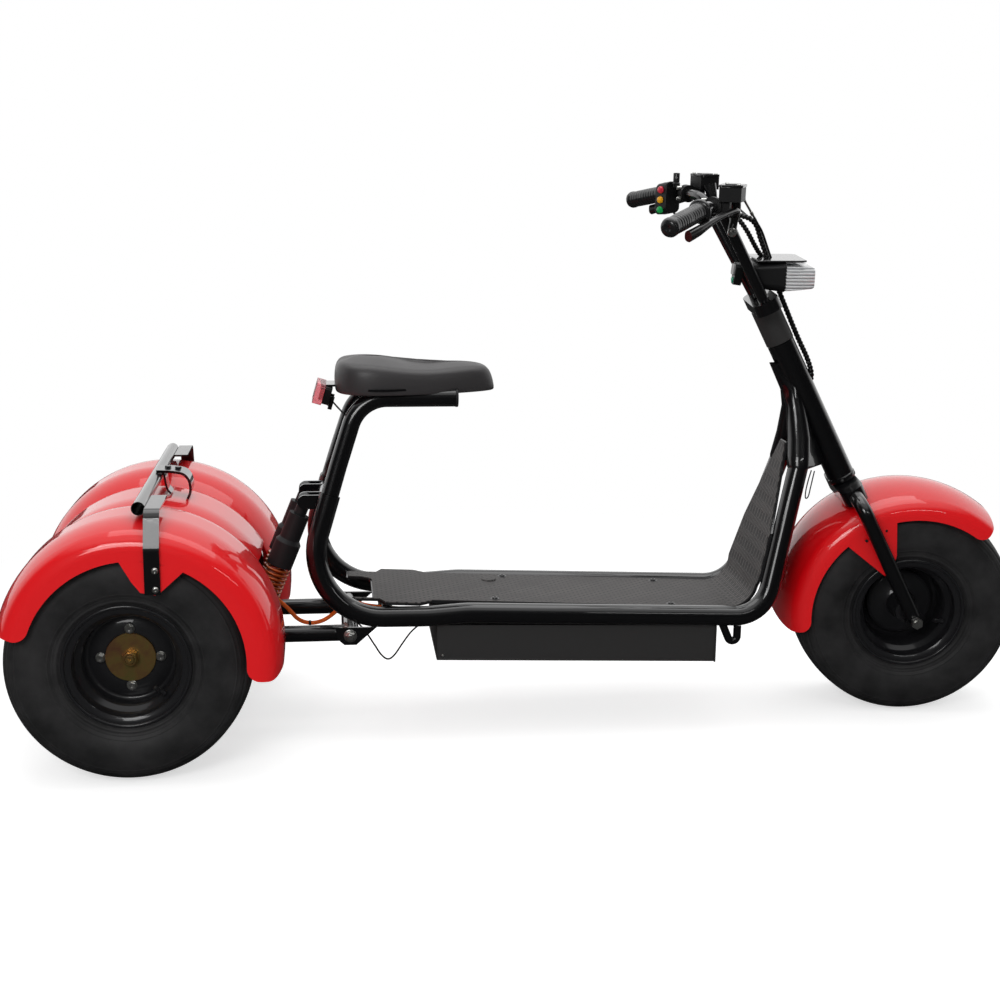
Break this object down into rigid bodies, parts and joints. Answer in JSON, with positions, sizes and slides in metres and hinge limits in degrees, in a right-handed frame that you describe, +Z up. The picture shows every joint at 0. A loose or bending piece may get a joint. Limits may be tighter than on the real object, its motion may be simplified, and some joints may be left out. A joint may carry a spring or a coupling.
{
  "type": "electric three-wheel scooter",
  "caption": "Low step-through electric trike with wide balloon tyres, tubular frame, padded saddle, high handlebar, a single front fork and a three-humped rear fender over a sprung rear axle.",
  "frame": {"origin": "on the ground, in the middle plane, half way along the length", "axes": "+X is forward, +Y is the rider's left, +Z is up"},
  "size_m": [2.0468, 0.7265, 1.1161],
  "materials": {
    "black_paint": "gloss",
    "black_plastic": "matt",
    "clear_lens": "gloss",
    "copper_spring": "gloss",
    "gold_steel": "satin",
    "grip_rubber": "matt",
    "red_lens": "gloss",
    "red_paint": "gloss",
    "steel": "satin",
    "tyre": "matt",
    "vinyl": "satin"
  },
  "bodies": {
    "chassis": {"battery_box": "black_paint", "cross_members": "black_paint", "deck": "black_paint", "deck_mat": "grip_rubber", "fender_straps": "black_paint", "front_loop": "black_paint", "neck": "black_paint", "pivot_brackets": "black_paint", "rear_axle": "black_paint", "rear_bar": "black_paint", "rear_fender": "red_paint", "seat": "vinyl", "seat_base": "black_paint", "seat_rails": "black_paint", "shock_feet": "steel", "shock_mounts": "black_paint", "shock_sleeves": "black_plastic", "shock_springs": "copper_spring", "side_tube_left": "black_paint", "side_tube_right": "black_paint", "swingarm": "black_paint", "tail_lamp": "red_lens"},
    "steering": {"brake_masters": "black_plastic", "fork": "black_paint", "front_axle": "steel", "front_fender": "red_paint", "grips": "grip_rubber", "handlebar": "black_paint", "headlight": "black_plastic", "headlight_bracket": "black_paint", "headlight_lens": "clear_lens", "steerer": "black_paint"},
    "front_wheel": {"front_hub": "steel", "front_rim": "black_paint", "front_tyre": "tyre"},
    "rear_right_wheel": {"rear_right_hub": "gold_steel", "rear_right_rim": "black_paint", "rear_right_tyre": "tyre"},
    "rear_left_wheel": {"rear_left_hub": "gold_steel", "rear_left_rim": "black_paint", "rear_left_tyre": "tyre"}
  },
  "joints": [
    {"name": "steering", "type": "hinge", "parent": "chassis", "child": "steering", "pos_m": [0.80025, 0, 0.2285], "axis": [-0.4633, 0, 0.8862], "range_deg": [-33, 47]},
    {"name": "front_wheel_spin", "type": "hinge", "parent": "steering", "child": "front_wheel", "pos_m": [0.80025, 0, 0.2285], "axis": [0.1111, 0.9921, 0.0581], "continuous": true},
    {"name": "rear_right_wheel_spin", "type": "hinge", "parent": "chassis", "child": "rear_right_wheel", "pos_m": [-0.78575, -0.226, 0.2285], "axis": [0, 1, 0], "continuous": true},
    {"name": "rear_left_wheel_spin", "type": "hinge", "parent": "chassis", "child": "rear_left_wheel", "pos_m": [-0.78575, 0.226, 0.2285], "axis": [0, 1, 0], "continuous": true}
  ]
}
